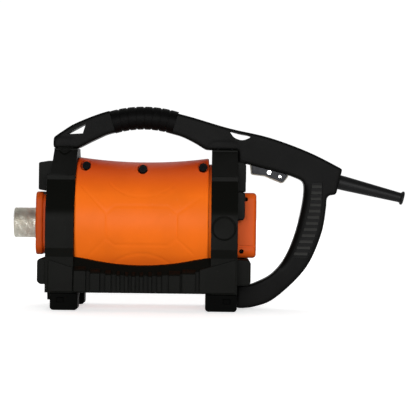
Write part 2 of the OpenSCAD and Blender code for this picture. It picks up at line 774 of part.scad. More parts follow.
module cable_boot() color([0.1, 0.1, 0.11])
  on_cable()
    rotate_extrude()
      polygon([
        [boot_bore_d / 2, -6.4], [11, -6.4], [11, -3.6], [8, -3.6], [8, 0.05], [boot_root_r, 0.05],
        [boot_root_r, 6], [boot_end_r, boot_len - 5], [8.2, boot_len - 3.5], [8.2, boot_len - 0.8],
        [7, boot_len], [boot_bore_d / 2, boot_len]
      ]);

cage_left();
cage_right();
cage_screws();
housing_left();
housing_right();
housing_screws();
front_flange();
flange_screws();
hose_spigot();
rear_cover();
rear_cover_screws();
stator_core();
stator_coils();
rotor_shaft();
armature_core();
armature_windings();
commutator();
cooling_fan();
drive_coupling();
front_bearing_outer();
front_bearing_inner();
front_bearing_balls();
rear_bearing_outer();
rear_bearing_inner();
rear_bearing_balls();
brush_holders();
carbon_brushes();
brush_springs();
brush_caps();
brush_plug_left();
brush_plug_right();
handle_left();
handle_right();
handle_screws();
handle_base_screws();
handle_sleeve();
grip_inlay_left();
grip_inlay_right();
front_foot_left();
front_foot_right();
rear_foot_left();
rear_foot_right();
foot_screws();
trigger();
trigger_pin();
trigger_rivet();
trigger_spring();
switch_body();
switch_plunger();
suppressor();
terminal_block();
cable_clamp();
clamp_screws();
cable_boot();
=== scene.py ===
import math

import bpy
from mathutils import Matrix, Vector


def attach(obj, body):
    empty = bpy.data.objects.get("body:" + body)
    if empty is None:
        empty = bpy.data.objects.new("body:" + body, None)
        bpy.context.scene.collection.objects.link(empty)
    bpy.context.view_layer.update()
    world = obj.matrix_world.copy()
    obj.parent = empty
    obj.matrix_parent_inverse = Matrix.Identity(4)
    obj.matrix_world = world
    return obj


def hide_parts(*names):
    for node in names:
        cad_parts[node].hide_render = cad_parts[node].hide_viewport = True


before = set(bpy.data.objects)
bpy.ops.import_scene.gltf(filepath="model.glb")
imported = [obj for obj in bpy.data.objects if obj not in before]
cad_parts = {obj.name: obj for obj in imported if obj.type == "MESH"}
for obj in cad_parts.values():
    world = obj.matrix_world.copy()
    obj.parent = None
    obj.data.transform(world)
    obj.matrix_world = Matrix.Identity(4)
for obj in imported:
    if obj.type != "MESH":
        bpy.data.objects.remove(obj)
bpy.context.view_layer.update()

mm = 0.001

# ---- Rotor --------------------------------------------------------------
# The ground steel shaft carries the armature, the commutator, the fan and the
# drive coupling, and turns in two ball bearings. Its sheets are punched from
# electrical steel, and the winding is enamelled copper wire set in varnish.


class Wire:
    """A shader socket that can be reckoned with: each sum or product adds a Math node."""

    def __init__(self, tree, socket):
        self.tree = tree
        self.socket = socket

    def make(self, kind, inputs=None, output=0, stops=None, **settings):
        node = self.tree.nodes.new(kind)
        for name, value in settings.items():
            setattr(node, name, value)
        if stops:
            ramp = node.color_ramp
            while len(ramp.elements) < len(stops):
                ramp.elements.new(1.0)
            for element, (place, colour) in zip(ramp.elements, stops):
                element.position = place
                element.color = (*colour, 1)
        for name, value in (inputs or {}).items():
            if isinstance(value, Wire):
                self.tree.links.new(value.socket, node.inputs[name])
            else:
                node.inputs[name].default_value = value
        return Wire(self.tree, node.outputs[output])

    def math(self, operation, first, second):
        return self.make("ShaderNodeMath", {0: first, 1: second}, operation=operation)

    def __add__(self, other):
        return self.math("ADD", self, other)

    def __sub__(self, other):
        return self.math("SUBTRACT", self, other)

    def __rsub__(self, other):
        return self.math("SUBTRACT", other, self)

    def __mul__(self, other):
        return self.math("MULTIPLY", self, other)

    __radd__ = __add__
    __rmul__ = __mul__

    def noise(self, scale, detail=3.0, roughness=0.55):
        return self.make("ShaderNodeTexNoise", {
            "Vector": self, "Scale": scale, "Detail": detail, "Roughness": roughness})

    def between(self, low, high, to_low=0.0, to_high=1.0):
        """The value moved from low..high to to_low..to_high, and held inside it."""
        return self.make("ShaderNodeMapRange", {
            "Value": self, "From Min": low, "From Max": high, "To Min": to_low, "To Max": to_high})

    def mix(self, first, second):
        """The first colour where the value is 0, the second where it is 1."""
        return self.make("ShaderNodeMix", {0: self, 6: first, 7: second}, output=2, data_type="RGBA")

    def bands(self, scale, direction, distortion=0.0):
        return self.make("ShaderNodeTexWave", {"Vector": self, "Scale": scale, "Distortion": distortion},
                         wave_type="BANDS", bands_direction=direction, output=1)


def start_material(name, roughness=0.5, metallic=0.0):
    """A new material, its coordinates as a wire, and its shader."""
    material = bpy.data.materials.new(name)
    material.use_nodes = True
    shader = material.node_tree.nodes["Principled BSDF"]
    shader.inputs["Roughness"].default_value = roughness
    shader.inputs["Metallic"].default_value = metallic
    place = material.node_tree.nodes.new("ShaderNodeTexCoord").outputs["Object"]
    return material, Wire(material.node_tree, place), shader


def feed(shader, **wires):
    for name, wire in wires.items():
        wire.tree.links.new(wire.socket, shader.inputs[name.replace("_", " ")])


def bump(height, depth, strength=1.0):
    return height.make("ShaderNodeBump", {"Height": height, "Distance": depth, "Strength": strength})


def metal(name, colour, roughness, streaks=None, streak_scale=400, grain=900, smut=(0.25, 0.22, 0.2)):
    """Bare or plated metal: fine streaks along one direction, and smut in patches."""
    material, at, shader = start_material(name, roughness, 1.0)
    patches = at.noise(60, 5).between(0.52, 0.75)
    dark = tuple(c * s for c, s in zip(colour, smut))
    tone = (patches * 0.45).mix((*colour, 1), (*dark, 1))
    fine = at.noise(grain, 2)
    if streaks:
        fine = fine * 0.4 + at.bands(streak_scale, streaks, 3.0) * 0.6
    feed(shader, Base_Color=tone, Roughness=fine.between(0, 1, roughness - 0.07, roughness + 0.12) + patches * 0.2,
         Normal=bump(fine, 0.00003))
    return material


def plastic(name, colour, roughness, worn, grain=1400, grain_depth=0.00003, scuff=0.5, specular=0.12, painted_shade_rim=None):
    """Moulded plastic or rubber: a fine spark grain, a little dust, and scuffs that lighten it.
    A painted shade colour, for the barrel, darkens its skin far above and below the motor axis, where it turns away
    from the front light."""
    material, at, shader = start_material(name, roughness)
    shader.inputs["Specular IOR Level"].default_value = specular
    cloud = at.noise(14, 4)
    scratches = at.noise(220, 6, 0.7).between(0.62, 0.7) * at.noise(30, 2).between(0.5, 0.6)
    tone = cloud.between(0.3, 0.7).mix((*colour, 1), tuple(c * 0.86 for c in colour) + (1,))
    tone = (scratches * scuff).mix(tone, (*worn, 1))
    # Painted shade: the colour turns to the rim colour with height above or below the motor axis.
    if painted_shade_rim:
        height = at.make("ShaderNodeSeparateXYZ", {"Vector": at}, output=2) - 0.1
        tone = height.math("ABSOLUTE", height, 0).between(0.034, 0.076).mix(tone, (*painted_shade_rim, 1))
    fine = at.noise(grain, 2)
    feed(shader, Base_Color=tone,
         Roughness=cloud.between(0.3, 0.7, roughness - 0.05, roughness + 0.05) + scratches * 0.15,
         Normal=bump(fine + scratches * 0.6, grain_depth))
    return material


def give(material, *names):
    for name in names:
        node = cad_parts[name]
        node.data.materials.clear()
        node.data.materials.append(material)


ground_steel = metal("ground_steel", (0.56, 0.56, 0.57), 0.28, "X", 900)
sheet_steel = metal("sheet_steel", (0.3, 0.3, 0.32), 0.45, "X", 650)
copper_bars = metal("copper_bars", (0.72, 0.36, 0.2), 0.3, "X", 1200)
race_steel = metal("race_steel", (0.62, 0.62, 0.64), 0.2, "X", 1500)
give(ground_steel, "rotor_shaft", "drive_coupling")
give(sheet_steel, "armature_core", "stator_core")
give(copper_bars, "commutator")
give(race_steel, "front_bearing_outer", "front_bearing_inner", "front_bearing_balls",
     "rear_bearing_outer", "rear_bearing_inner", "rear_bearing_balls")

wound_copper, at, shader = start_material("wound_copper", 0.35)
turns = at.bands(330, "Y", 2.0)
# Painted shade: the colour is darker in the grooves between the turns and lighter on their crests.
feed(shader, Base_Color=turns.mix((0.2, 0.05, 0.015, 1), (0.55, 0.2, 0.06, 1)),
     Roughness=turns.between(0, 1, 0.55, 0.3), Normal=bump(turns, 0.0003))
give(wound_copper, "armature_windings", "stator_coils")

# ---- Brush gear, switch and electrics -----------------------------------
# Pressed brass holders carry the two carbon brushes, each pushed in by a wire
# spring under a screw cap. The switch, the suppressor and the terminal block
# are bought-in moulded parts that lie inside the handle.

soft_black = plastic("soft_black", (0.016, 0.016, 0.017), 0.42, (0.08, 0.08, 0.08))
carbon_block = plastic("carbon_block", (0.02, 0.02, 0.022), 0.6, (0.1, 0.1, 0.1), 2600)
give(metal("stamped_brass", (0.78, 0.55, 0.22), 0.32, "Y", 500), "brush_holders")
give(metal("drawn_wire", (0.5, 0.5, 0.52), 0.3), "brush_springs", "trigger_spring")
give(carbon_block, "carbon_brushes")
give(soft_black, "brush_caps", "switch_body", "cable_clamp", "cooling_fan")
give(plastic("red_nylon", (0.5, 0.02, 0.015), 0.35, (0.7, 0.2, 0.15)), "switch_plunger")
give(plastic("yellow_case", (0.65, 0.42, 0.05), 0.35, (0.8, 0.7, 0.4)), "suppressor")
give(plastic("cream_nylon", (0.7, 0.66, 0.55), 0.4, (0.85, 0.83, 0.78)), "terminal_block")

# ---- Barrel housing -----------------------------------------------------
# Two moulded shells in orange nylon meet on the middle plane and are held by
# six cross screws. The barrel is waisted, with a shallow moulded line pattern
# on each side, and runs on under the cage rings as a plain seat.

axis_z = 100
waist_x, flare_x = -79, 77
waist_r, flare_r, seat_r = 73.6, 79, 72
front_wall_x, rear_wall_x = -187, 31


def deselect():
    bpy.ops.object.select_all(action="DESELECT")


def edit(piece, *actions):
    """Does mesh operators on the whole of a piece, in edit mode."""
    deselect()
    piece.select_set(True)
    bpy.context.view_layer.objects.active = piece
    bpy.ops.object.mode_set(mode="EDIT")
    bpy.ops.mesh.select_all(action="SELECT")
    for action, settings in actions:
        action(**settings)
    bpy.ops.object.mode_set(mode="OBJECT")
    return piece


def outwards(piece):
    return edit(piece, (bpy.ops.mesh.remove_doubles, {"threshold": 0.000005}),
                (bpy.ops.mesh.normals_make_consistent, {"inside": False}))


def loop(name, points, fill="NGON"):
    """A closed outline through points in millimetres."""
    deselect()
    bpy.ops.mesh.primitive_circle_add(vertices=len(points), fill_type=fill)
    piece = bpy.context.object
    piece.name = name
    for vertex, point in zip(piece.data.vertices, points):
        vertex.co = Vector(point) * mm
    return piece


def side_solid(name, outline, y0, y1):
    """An (X, Z) outline drawn out along Y."""
    piece = loop(name, [(x, y0, z) for x, z in outline])
    edit(piece, (bpy.ops.mesh.extrude_region_move,
                 {"TRANSFORM_OT_translate": {"value": (0, (y1 - y0) * mm, 0)}}))
    return outwards(piece)


def end_solid(name, outline, x0, x1):
    """A (Y, Z) outline drawn out along X."""
    piece = loop(name, [(x0, y, z) for y, z in outline])
    edit(piece, (bpy.ops.mesh.extrude_region_move,
                 {"TRANSFORM_OT_translate": {"value": ((x1 - x0) * mm, 0, 0)}}))
    return outwards(piece)


def spun(name, profile, steps=96, centre=(0, 0, axis_z), axis=(1, 0, 0), up=(0, 0, 1)):
    """A closed profile of (along, radius) points turned about an axis."""
    centre, axis, up = Vector(centre), Vector(axis), Vector(up)
    piece = loop(name, [centre + axis * s + up * r for s, r in profile], "NOTHING")
    edit(piece, (bpy.ops.mesh.spin, {
        "steps": steps, "angle": 2 * math.pi, "center": centre * mm, "axis": axis}))
    return outwards(piece)


def reshape(piece, rule):
    """Moves each point of a piece by a rule that works in millimetres."""
    for vertex in piece.data.vertices:
        vertex.co = Vector(rule(*(vertex.co / mm))) * mm
    return piece


def finish_with(piece, kind, **settings):
    modifier = piece.modifiers.new(kind, kind)
    for name, value in settings.items():
        setattr(modifier, name, value)
    bpy.context.view_layer.objects.active = piece
    bpy.ops.object.modifier_apply(modifier=modifier.name)
    return piece


def round_edges(piece, width, segments=3, angle=24):
    return finish_with(piece, "BEVEL", width=width * mm, segments=segments, limit_method="ANGLE",
                       angle_limit=math.radians(angle), use_clamp_overlap=True)


def combine(piece, tool, operation):
    finish_with(piece, "BOOLEAN", operation=operation, object=tool, solver="EXACT")
    bpy.data.objects.remove(tool)
    return piece


def cut(piece, tool):
    return combine(piece, tool, "DIFFERENCE")


def fuse(piece, tool):
    return combine(piece, tool, "UNION")


def smooth(piece, angle=32):
    deselect()
    piece.select_set(True)
    bpy.context.view_layer.objects.active = piece
    bpy.ops.object.shade_smooth_by_angle(angle=math.radians(angle))
    return finish_with(piece, "WEIGHTED_NORMAL", keep_sharp=True, weight=80)


def copy_of(piece, name):
    twin = piece.copy()
    twin.data = piece.data.copy()
    twin.name = name
    bpy.context.scene.collection.objects.link(twin)
    return twin


def half_of(piece, name, side, slit=0.12):
    """The part of a piece on one side of the middle plane, closed again along the cut."""
    part = copy_of(piece, name)
    edit(part, (bpy.ops.mesh.bisect, {
        "plane_co": (0, side * slit * mm, 0), "plane_no": (0, -side, 0), "use_fill": True,
        "clear_outer": True, "clear_inner": False}))
    return part


def placed(piece, body, slot, material, *nodes):
    """The last step of every piece: its finish, its body, and the CAD nodes it stands for."""
    piece.data.materials.clear()
    piece.data.materials.append(material)
    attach(piece, body)
    if nodes:
        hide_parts(*nodes)


def rod(name, x, z, radius, y0, y1, steps=48):
    """A round bar along Y, for screws, pins and the holes that they go in."""
    return spun(name, [(y0, 0), (y0, radius), (y1, radius), (y1, 0)], steps, (x, 0, z), (0, 1, 0))


def barrel_r(x):
    return waist_r + (flare_r - waist_r) * ((x - waist_x) / flare_x) ** 2


# The line pattern on the barrel's side: straight strokes and two arcs, in (X, Z)
pattern_lines = [((-150, 145), (-120, 113)), ((-8, 134), (-38, 113)), ((-140, 64), (-120, 84)),
                 ((-18, 66), (-38, 84)), ((-120, 113), (-120, 84)), ((-38, 113), (-38, 84)),
                 ((-110, 121.5), (-48, 121.5)), ((-110, 76), (-48, 76)),
                 ((-120, 113), (-110, 121.5)), ((-38, 113), (-48, 121.5)),
                 ((-120, 84), (-110, 76)), ((-38, 84), (-48, 76))]
pattern_arcs = [((waist_x, 186), 54, -1), ((waist_x, 12), 54, 1)]
line_depth, line_half_w = 0.45, 0.9


def stroke_distance(x, z):
    nearest = 99.0
    for (ax, az), (bx, bz) in pattern_lines:
        dx, dz = bx - ax, bz - az
        t = min(1, max(0, ((x - ax) * dx + (z - az) * dz) / (dx * dx + dz * dz)))
        nearest = min(nearest, math.hypot(x - ax - t * dx, z - az - t * dz))
    for (cx, cz), radius, up in pattern_arcs:
        if abs(x - cx) < 0.7 * radius and (z - cz) * up > 0:
            nearest = min(nearest, abs(math.hypot(x - cx, z - cz) - radius))
    return nearest


def press_lines(x, y, z):
    """Sinks the pattern's lines into the barrel's skin."""
    radius = math.hypot(y, z - axis_z)
    if radius < seat_r + 0.5 or abs(y) < 30 or not -154 < x < -4:
        return x, y, z
    near = stroke_distance(x, z)
    if near > 2 * line_half_w:
        return x, y, z
    scale = 1 - line_depth * (0.5 + 0.5 * math.cos(math.pi * near / (2 * line_half_w))) / radius
    return x, y * scale, axis_z + (z - axis_z) * scale


rows = 124
skin = [(-157, seat_r)] + [(-156.5 + 155 * k / rows, barrel_r(-156.5 + 155 * k / rows) - (0.8 if k in (0, rows) else 0))
                           for k in range(rows + 1)] + [(-1, seat_r)]
barrel = spun("barrel", [(front_wall_x, 32.2), (front_wall_x, seat_r - 0.8), (front_wall_x + 0.8, seat_r)] + skin
              + [(rear_wall_x - 0.8, seat_r), (rear_wall_x, seat_r - 0.8), (rear_wall_x, 26), (27, 26), (27, 68),
                 (-183, 68), (-183, 32.2)], 288)
reshape(barrel, press_lines)

housing_screws = [(-146.6, 168.9), (-79.6, 165.7), (-8.1, 168.3)]
for x, z in housing_screws:
    for at_z in (z, 2 * axis_z - z):
        funnel = spun("funnel", [(-60, 0), (-60, 7.6), (-34, 6.2), (-21, 5.8), (-21, 0)], 48, (x, 0, at_z), (0, 1, 0))
        cut(barrel, funnel)

# The last colour is painted shade on the barrel's top and bottom, where they turn away from the soft box.
orange_nylon = plastic("orange_nylon", (0.95, 0.17, 0.01), 0.42, (0.9, 0.3, 0.1), 1100, 0.000012, 0.2, 0.06,
                       (0.62, 0.05, 0.004))
# The flange's and rear cover's colour: a darker copy of the orange nylon, partly a deeper red tone and partly painted
# shade where the bumpers shade the cover.
darker_orange_and_shade = plastic("darker_orange_and_shade", (0.66, 0.09, 0.008), 0.45, (0.8, 0.25, 0.08), 1100, 0.000012, 0.2, 0.08)
for side, name in ((-1, "left"), (1, "right")):
    shell = half_of(barrel, f"barrel_shell_{name}", side, 0.08)
    smooth(shell, 28)
    placed(shell, "frame", "orange_shell", orange_nylon, f"housing_{name}")
bpy.data.objects.remove(barrel)

# Black oxide screws, coloured near-black and almost unreflecting beyond the metal's own tone: painted shade for the
# pits they sit in.
blued_steel = plastic("blued_steel", (0.0008, 0.0008, 0.001), 0.5, (0.01, 0.01, 0.012), specular=0.04)
give(blued_steel, "housing_screws", "rear_cover_screws", "handle_base_screws")

# ---- Front flange and hose spigot ---------------------------------------
# The square orange flange holds the front bearing and is drawn against the
# barrel by four socket screws. The steel spigot in its hub has a fine thread
# for the hose's coupling nut, and the drive socket turns inside it.

spigot_end_x, hub_x = -233, -207
spigot_r, spigot_bore_r = 18, 11
thread_pitch, thread_depth = 1.5, 0.55


def rounded_square(w, r, steps=8):
    """A square outline with round corners, in (Y, Z), about the motor axis."""
    outline = []
    for k, (sy, sz) in enumerate(((1, 1), (-1, 1), (-1, -1), (1, -1))):
        for step in range(steps + 1):
            a = math.radians(90 * (k + step / steps))
            outline.append((sy * (w / 2 - r) + r * math.cos(a), axis_z + sz * (w / 2 - r) + r * math.sin(a)))
    return outline


def bolt_recesses(piece, half_pitch, x0, x1, radius):
    for y in (-half_pitch, half_pitch):
        for z in (-half_pitch, half_pitch):
            cut(piece, spun("recess", [(x0, 0), (x0, radius), (x1, radius), (x1, 0)], 40, (0, y, axis_z + z)))


flange = round_edges(end_solid("flange_body", rounded_square(74.6, 12), -205, -196.5), 2.2, 4)
fuse(flange, round_edges(end_solid("flange_neck", rounded_square(68, 12), -198, front_wall_x), 0.8, 2))
fuse(flange, spun("flange_hub", [(hub_x, 0), (hub_x, 19.6), (hub_x + 0.3, 20.5), (hub_x + 1.2, 21), (-204, 21.6),
                                 (-200, 23), (-200, 0)], 72))
cut(flange, spun("flange_bore", [(-210, 0), (-210, 15.1), (-199, 15.1), (-199, 17.55), (-189, 17.55),
                                 (-189, 14), (-180, 14), (-180, 0)], 72))
bolt_recesses(flange, 28, -210, -197, 5.6)
smooth(flange, 28)
placed(flange, "frame", "orange_shell", darker_orange_and_shade, "front_flange")

zinc_plate = metal("zinc_plate", (0.6, 0.61, 0.62), 0.34)
give(zinc_plate, "flange_screws", "cage_screws", "handle_screws",
     "foot_screws", "clamp_screws")


def cut_thread(x, y, z):
    """Makes the plain spigot's outside a thread: a ridge that climbs one pitch a turn."""
    radius = math.hypot(y, z - axis_z)
    if radius < spigot_r - 0.9 or not spigot_end_x + 1.2 < x < hub_x - 1.6:
        return x, y, z
    turn = (x / thread_pitch + math.atan2(z - axis_z, y) / (2 * math.pi)) % 1
    scale = 1 - thread_depth * (1 - abs(2 * turn - 1)) / radius
    return x, y * scale, axis_z + (z - axis_z) * scale


thread_rows = 16 * 8
spigot = spun("spigot_thread", [(spigot_end_x, spigot_bore_r + 0.8), (spigot_end_x, spigot_r - 1.2)]
              + [(spigot_end_x + 1.2 + 23.6 * k / thread_rows, spigot_r) for k in range(thread_rows + 1)]
              + [(hub_x - 1.1, spigot_r - 1), (hub_x, spigot_r - 1), (hub_x, 15), (-200.2, 15), (-200.2, spigot_bore_r),
                 (spigot_end_x + 0.8, spigot_bore_r)], 96)
reshape(spigot, cut_thread)
smooth(spigot, 40)
turned_steel = metal("turned_steel", (0.62, 0.61, 0.54), 0.5, "X", 200, 60, (0.92, 0.92, 0.9))
placed(spigot, "frame", "turned_steel", turned_steel, "hose_spigot")

# ---- Rear cover ---------------------------------------------------------
# An orange cap with round corners closes the motor's rear end and holds
# the rear bearing. It is coloured darker than the barrel, partly a deeper tone
# and partly painted shade for the bumpers' shadow. A ledge runs across it near
# its foot, and four screws in corner pockets hold it.

cover_end_x = 55.3
cover = round_edges(end_solid("rear_cap", rounded_square(77, 9), rear_wall_x, cover_end_x), 4.2, 5)
for side in (-1, 1):
    cut(cover, round_edges(side_solid("cover_ledge", [(26, 74), (60, 74), (60, 76.2), (26, 76.2)],
                                      side * 36.9, side * 42), 0.6, 2))
    cut(cover, rod("cover_hollow", 27, 104, 18, side * 37.6, side * 42))
    for x, z in ((38, 69.3), (42.4, 131)):
        cut(cover, rod("corner_pocket", x, z, 2.8, side * 29, side * 42, 32))
bolt_recesses(cover, 31, 48, 60, 4.4)
cut(cover, spun("bearing_room", [(30, 0), (30, 15.1), (46, 15.1), (46, 11), (50, 11), (50, 0)], 72))
smooth(cover, 28)
placed(cover, "frame", "orange_shell", darker_orange_and_shade, "rear_cover")

# ---- Cage ---------------------------------------------------------------
# Two mirror-image mouldings in black glass-filled nylon grip the barrel: a
# front and a rear ring joined by a low side rail with a moulded tread, and
# bumpers that stand past the motor at both ends. Cross screws join them.

head_z, ring_w, cage_half_w = 189, 31, 86
front_ring_x, rear_ring_x = -188, 2


def both_ways(half):
    return half + [(-y, z) for y, z in reversed(half)]


# From the head down: a lip under the handle, the dark slope, a lip, the steep face, the upright side
ring_half = [(0, head_z), (26.2, head_z), (27, 188.4), (27, 186.2), (28.4, 185), (61.5, 157.8), (64.5, 156.8),
             (64.8, 151.4), (83, 118.6), (85.2, 112), (cage_half_w, 104), (cage_half_w, 72), (83, 62),
             (82, 20.3), (44, 20.3), (40, 10), (0, 10)]


def rail_lift(x):
    """How far the rail rises towards the rings, from 0 in the middle to 1."""
    return min(1.0, ((x - waist_x) / flare_x) ** 2)


def rail_bar(name, section, x0, x1, cuts):
    """A bar along X whose upper points rise towards the rings. The section is (Y, Z, rise)."""
    bar = loop(name, [(x0, y, z) for y, z, rise in section])
    step = (bpy.ops.mesh.extrude_region_move, {
        "TRANSFORM_OT_translate": {"value": ((x1 - x0) / cuts * mm, 0, 0)}})
    edit(bar, *[step] * cuts)
    rises = {(round(y, 2), round(z, 2)): rise for y, z, rise in section}
    reshape(bar, lambda x, y, z: (x, y, z + rises[(round(y, 2), round(z, 2))] * rail_lift(x)))
    return outwards(bar)


rail_section = [(79, 20.5, 0), (79, 40.5, 7.3), (70.5, 51.6, 10.4), (66, 52.6, 10.4), (62, 50, 8), (62, 20.5, 0)]
tread = [(-149.5, 14), (-131.8, 11.2), (-116.5, 6.8), (-104.8, 4), (-95.3, 4), (-87.2, 4),
         (-78, 4), (-68, 4), (-57.3, 5), (-39.8, 13), (-23.2, 15.3)]
corner_pads = [[(-186.3, 21.6), (-157.6, 21.6), (-157.6, 50), (-186.3, 59)],
               [(-11, 21.6), (31.6, 21.6), (31.6, 61), (-11, 48.5)]]


def tread_block(middle, width, side):
    lift = 7.3 * rail_lift(middle)
    return end_solid("tread_block", [(side * 77, 21), (side * 85.2, 21), (side * 86, 22), (side * 86, 39.5 + lift),
                                     (side * 84.8, 41.2 + lift), (side * 79, 45 + lift), (side * 77, 45 + lift)],
                     middle - width / 2, middle + width / 2)


# The tongue under the handle's front foot, in (X, Z), which lies on the front ring's slope
tongue = [(-181, 190.2), (-181, 188.5), (-176, 184), (-174, 182.3), (-170, 182.3), (-168, 184), (-163.5, 188.5),
          (-163.5, 190.2)]


def lie_on_slope(x, y, z):
    return x, y if abs(y) < 30 else math.copysign(28.8 + (186 - z) * 1.21, y), z


def bumper(name, outline, y0, y1):
    return round_edges(side_solid(name, outline, y0, y1), 1.6, 3)


cage = round_edges(end_solid("cage", both_ways(ring_half), front_ring_x - 2, front_ring_x + ring_w), 1.7, 3, 14)
cut(cage, side_solid("neck_cut", [(-195, 157.3), (-186, 157.3), (-184.4, 192), (-195, 192)], -90, 90))
fuse(cage, round_edges(end_solid("rear_ring", both_ways(ring_half), rear_ring_x, rear_ring_x + ring_w), 1.7, 3, 14))
for side in (-1, 1):
    section = [(side * y, z, rise) for y, z, rise in rail_section]
    fuse(cage, rail_bar("rail", section, front_ring_x + 20, rear_ring_x + 12, 20))
    for middle, width in tread:
        fuse(cage, round_edges(tread_block(middle, width, side), 0.7, 2))
    for pad in corner_pads:
        fuse(cage, round_edges(side_solid("corner_pad", pad, side * 75.5, side * 84.6), 1, 2))
    fuse(cage, round_edges(reshape(side_solid("ring_tongue", tongue, side * 20, side * 40), lie_on_slope), 0.5, 2))
    fuse(cage, bumper("rear_side_bumper", [(25, 139.5), (39, 139.5), (41.3, 137), (41.3, 109), (39, 106.3), (25, 106.3)],
                      side * 40, side * 66))
    fuse(cage, bumper("rear_low_bumper", [(25, 61), (46, 60), (49, 57), (49, 33), (46, 30), (25, 30)],
                      side * 18, side * 62))
fuse(cage, bumper("front_high_bumper", [(-180, 173.8), (-190, 173.5), (-201.4, 171.5), (-201.4, 139.6),
                                        (-190, 137.7), (-180, 137.7)], -44, 44))
fuse(cage, bumper("front_low_bumper", [(-180, 60), (-196, 60), (-199.5, 57), (-199.5, 33), (-196, 29.7),
                                       (-180, 29.7)], -78, 78))
fuse(cage, bumper("rear_high_bumper", [(25, 172.1), (39, 172.1), (42.4, 168.5), (42.4, 139.1), (25, 139.1)], -42, 42))
for side in (-1, 1):
    fuse(cage, bumper("rear_high_corner", [(25, 175), (39.5, 175), (42.6, 171.5), (42.6, 150), (25, 150)],
                      side * 16.8, side * 41.8))
cut(cage, spun("barrel_room", [(-191, 0), (-191, 72.3), (-157.4, 72.3), (-157.4, 79.5)]
               + [(x, barrel_r(x) + 0.5) for x in range(-154, -3, 10)]
               + [(2.4, 79.5), (2.4, 72.3), (31.3, 72.3), (31.3, 0)], 192))
cut(cage, end_solid("cover_room", rounded_square(78, 9.5), 30, 36))
for side in (-1, 1):
    cut(cage, rod("plug_room", 17, 97, 14.35, side * 79, side * 90))
for x in (-172.5, 17.5):
    for z, reach in ((181, 60), (16, 45)):
        cut(cage, rod("screw_recess", x, z, 4.6, 12, reach, 32))

black_nylon = plastic("black_nylon", (0.0036, 0.0038, 0.003), 0.45, (0.02, 0.02, 0.018), 1250, 0.00003, 0.4, 0.035)
for side, name in ((-1, "left"), (1, "right")):
    frame_half = half_of(cage, f"cage_frame_{name}", side)
    smooth(frame_half, 26)
    placed(frame_half, "frame", "black_nylon", black_nylon, f"cage_{name}")
bpy.data.objects.remove(cage)

# ---- Brush plugs --------------------------------------------------------
# A round black plug with a raised face closes the hole in each side of the
# rear ring through which the carbon brush is changed.

for side, name in ((-1, "left"), (1, "right")):
    plug = spun(f"brush_disc_{name}", [(79, 0), (79, 14.2), (85.4, 14.2), (86, 13.6), (86.1, 13), (86.7, 12.7),
                                       (87, 12.2), (86.7, 11), (86.6, 0)], 72, (17, 0, 97), (0, side, 0))
    smooth(plug, 30)
    placed(plug, "frame", "black_plastic", black_nylon, f"brush_plug_{name}")

# ---- Feet ---------------------------------------------------------------
# Four rubber blocks stand under the corners of the cage. Each is held by one
# screw from below and has a small moulding pocket in its outer side.

foot_rubber = plastic("foot_rubber", (0.0008, 0.0009, 0.0007), 0.6, (0.012, 0.012, 0.011), 900, 0.00004, 0.4, 0.02)
for place, x0, x1, pocket_x in (("front", -184, -151.8, -172), ("rear", -4, 33, 21)):
    for side, name in ((-1, "left"), (1, "right")):
        foot = side_solid(f"rubber_foot_{place}_{name}", [(x0 + 2.5, 0), (x1 - 2.5, 0), (x1, 2.5), (x1, 20), (x0, 20), (x0, 2.5)],
                          side * 48, side * 80)
        round_edges(foot, 1.5, 3)
        middle = (x0 + x1) / 2
        cut(foot, spun("screw_room", [(-1, 0), (-1, 5.5), (9, 5.5), (9, 0)], 32, (middle, side * 64, 0), (0, 0, 1), (1, 0, 0)))
        cut(foot, round_edges(side_solid("pocket", [(pocket_x - 4.5, 9), (pocket_x + 4.5, 9), (pocket_x + 4.5, 15),
                                                    (pocket_x - 4.5, 15)], side * 76, side * 84), 0.8, 2))
        smooth(foot, 28)
        placed(foot, "frame", "foot_rubber", foot_rubber, f"{place}_foot_{name}")

# ---- Handle -------------------------------------------------------------
# Two mirror-image shells in black plastic run from the front ring over the
# barrel, become the beam with the trigger, and turn down into the rear grip.
# The edges are well rounded, and seven screws join the shells from the right.

handle_half_w = 15.5
top_line = [(-187, 202), (-176.1, 209.7), (-159, 220), (-122.3, 234), (-82.8, 240.3), (-33, 230.7),
            (21.6, 215.4), (70, 204.8), (118.3, 187.6), (157.7, 168.2)]
grip_back = [(139.1, 131.9), (138.5, 119.4), (133, 88.7), (114.6, 48.5), (79.4, 13.7), (55.6, 3.2), (40, 1)]
grip_front = [(50.1, 29.1), (73.4, 41), (89.8, 60.4), (102.1, 89.8), (110.4, 125.3), (112.1, 149), (107, 155.2)]
arch_under = [(-5, 189), (-22.2, 199.1), (-42.7, 207.2), (-80.5, 212.7), (-116.3, 208.1), (-135.4, 200.4),
              (-157.8, 189)]
half_moon = [(22.7, 211.7), (35, 208.6), (47.5, 206), (43, 202.4), (36.2, 201.3), (28, 204.5), (22.7, 211.7)]
handle_screws = [(-176, 196), (-138, 213), (-30, 214), (104, 180), (127, 173), (99, 47), (52, 16)]
boot_root, boot_tilt = (154.2, 0, 152.8), math.radians(13.5)
along_cable = (math.cos(boot_tilt), 0, -math.sin(boot_tilt))
across_cable = (math.sin(boot_tilt), 0, math.cos(boot_tilt))


def curve(points, steps=5):
    """A smooth line through points, without its last point."""
    line = []
    for k in range(len(points) - 1):
        a, b, c, d = points[max(k - 1, 0)], points[k], points[k + 1], points[min(k + 2, len(points) - 1)]
        for step in range(steps):
            t = step / steps
            line.append(tuple(0.5 * (2 * q + (r - p) * t + (2 * p - 5 * q + 4 * r - s) * t * t
                                     + (3 * q - p - 3 * r + s) * t ** 3) for p, q, r, s in zip(a, b, c, d)))
    return line


